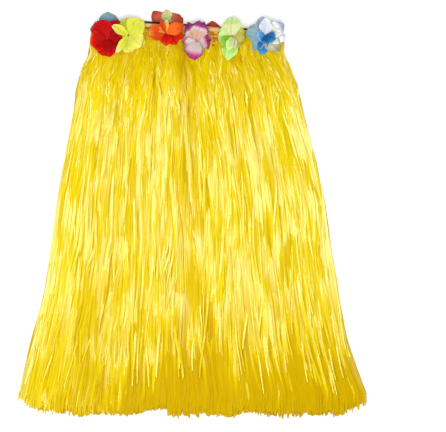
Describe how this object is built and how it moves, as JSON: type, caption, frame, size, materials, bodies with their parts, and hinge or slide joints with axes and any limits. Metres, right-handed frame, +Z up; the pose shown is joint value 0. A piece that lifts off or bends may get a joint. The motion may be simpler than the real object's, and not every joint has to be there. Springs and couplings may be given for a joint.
{
  "type": "grass skirt",
  "caption": "Flat-laid raffia hula skirt: a stitched elastic waistband carrying a long flared fringe of glossy ribbon grass, with cloth flowers along the waist.",
  "frame": {"origin": "on the surface the skirt lies on, under the middle of its bounding box", "axes": "+Z up off the surface, +Y towards the waist, +X to the right of someone who looks down at the front with the waist at the top"},
  "size_m": [0.7228, 0.8266, 0.0452],
  "materials": {
    "raffia": "crinkled glossy film ribbon",
    "raffia_header": "bundled film ribbon drawn in by rows of stitching",
    "elastic_tape": "ribbed woven elastic",
    "petals_red": "matt woven silk-look cloth",
    "petals_yellow": "matt woven silk-look cloth",
    "petals_orange": "matt woven silk-look cloth",
    "petals_purple": "matt woven silk-look cloth",
    "petals_green": "matt woven silk-look cloth",
    "petals_blue": "matt woven silk-look cloth",
    "petals_coral": "matt woven silk-look cloth",
    "petals_maroon": "matt woven silk-look cloth"
  },
  "bodies": {
    "root": {"grass_back": "raffia", "grass_front": "raffia", "header_back": "raffia_header", "header_front": "raffia_header", "elastic_back": "elastic_tape", "elastic_front": "elastic_tape", "flower_red": "petals_red", "flower_yellow": "petals_yellow", "flower_orange": "petals_orange", "flower_purple": "petals_purple", "flower_green": "petals_green", "flower_blue": "petals_blue", "back_flower_blue": "petals_blue", "back_flower_coral": "petals_coral", "back_flower_red": "petals_red", "back_flower_maroon": "petals_maroon"}
  },
  "joints": []
}
